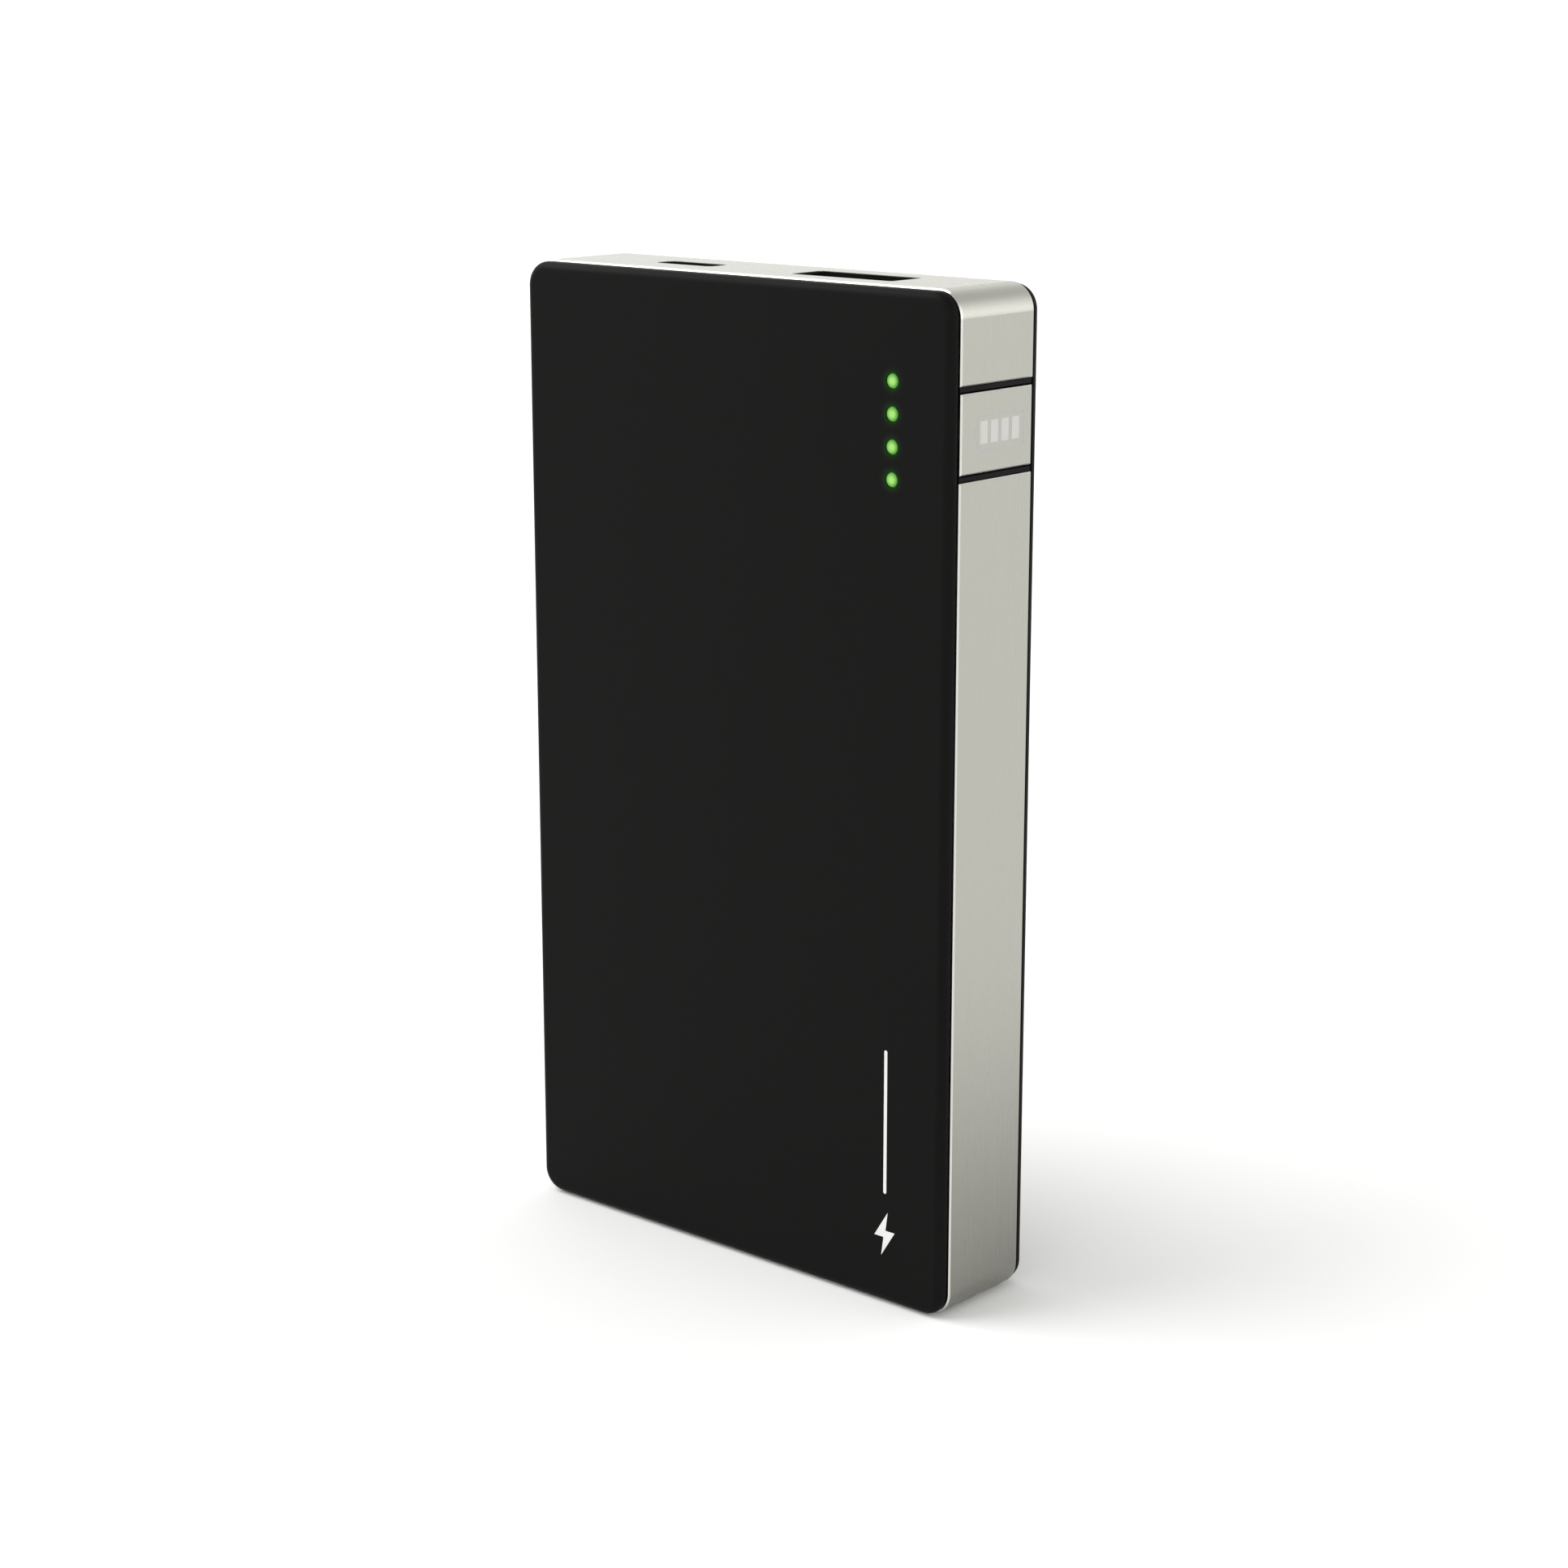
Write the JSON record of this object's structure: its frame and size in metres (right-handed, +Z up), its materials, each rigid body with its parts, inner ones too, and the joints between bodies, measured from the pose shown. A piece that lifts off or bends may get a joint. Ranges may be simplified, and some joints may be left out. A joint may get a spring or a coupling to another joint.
{
  "type": "power bank",
  "caption": "Slim upright power bank: matte black covers around a satin metal band with a status button, green charge lights, and charging sockets in its top edge.",
  "frame": {"origin": "middle of the base, on the surface the power bank stands on", "axes": "+Z up along the height to the socket end, -Y out of the front cover, +X to the button's side"},
  "size_m": [0.062, 0.015, 0.112],
  "materials": {
    "cover_black": "soft matte",
    "band_aluminium": "satin, fine brushed, polished edges",
    "icon_grey": "matte inlay",
    "mark_white": "printed",
    "black_plastic": "matte moulded",
    "grey_plastic": "matte moulded",
    "light_guide": "clear, lit green",
    "led_body": "lit green",
    "cell_foil": "satin laminated foil",
    "nickel": "bright strip",
    "steel": "plated sheet",
    "gold": "gold plated",
    "board_mask": "green solder mask",
    "tape_amber": "amber film",
    "foam_grey": "closed-cell foam",
    "ferrite": "matte ferrite",
    "chip_black": "moulded epoxy",
    "ceramic_tan": "fired ceramic",
    "tantalum_yellow": "moulded epoxy",
    "wire_red": "insulated wire",
    "wire_black": "insulated wire"
  },
  "bodies": {
    "housing": {"front_cover": "cover_black", "back_cover": "cover_black", "metal_band": "band_aluminium", "charge_mark": "mark_white", "button_bezel": "black_plastic", "port_liners": "black_plastic", "chassis": "black_plastic", "main_board": "board_mask", "board_screws": "steel", "usb_a_shell": "steel", "usb_a_contacts": "gold", "usb_a_insulator": "black_plastic", "micro_usb_shell": "steel", "micro_usb_contacts": "gold", "micro_usb_insulator": "black_plastic", "status_leds": "led_body", "light_guide": "light_guide", "light_shroud": "grey_plastic", "switch_body": "black_plastic", "switch_dome": "nickel", "boost_inductor": "ferrite", "inductor_terminals": "nickel", "power_controller": "chip_black", "charger_chip": "chip_black", "charger_chip_legs": "nickel", "chip_capacitors": "ceramic_tan", "chip_resistors": "chip_black", "tantalum_capacitors": "tantalum_yellow", "protection_diode": "chip_black", "battery_cell": "cell_foil", "cell_tabs": "nickel", "protection_board": "board_mask", "protection_chips": "chip_black", "insulation_tape": "tape_amber", "front_cell_pad": "foam_grey", "back_cell_pad": "foam_grey", "negative_lead": "wire_black", "positive_lead": "wire_red"},
    "button": {"button_cap": "band_aluminium", "battery_icon": "icon_grey", "button_carrier": "grey_plastic"},
    "plunger": {"switch_plunger": "grey_plastic"}
  },
  "joints": [
    {"name": "button_press", "type": "slide", "parent": "housing", "child": "button", "axis": [-1, 0, 0], "range_m": [0, 0.0003], "stiffness_N_per_m": 5000},
    {"name": "plunger_press", "type": "slide", "parent": "housing", "child": "plunger", "axis": [-1, 0, 0], "range_m": [0, 0.0003], "deforming": ["switch_dome"]}
  ],
  "couplings": [
    {"joint": "plunger_press", "follows": "button_press", "ratio": 1}
  ]
}
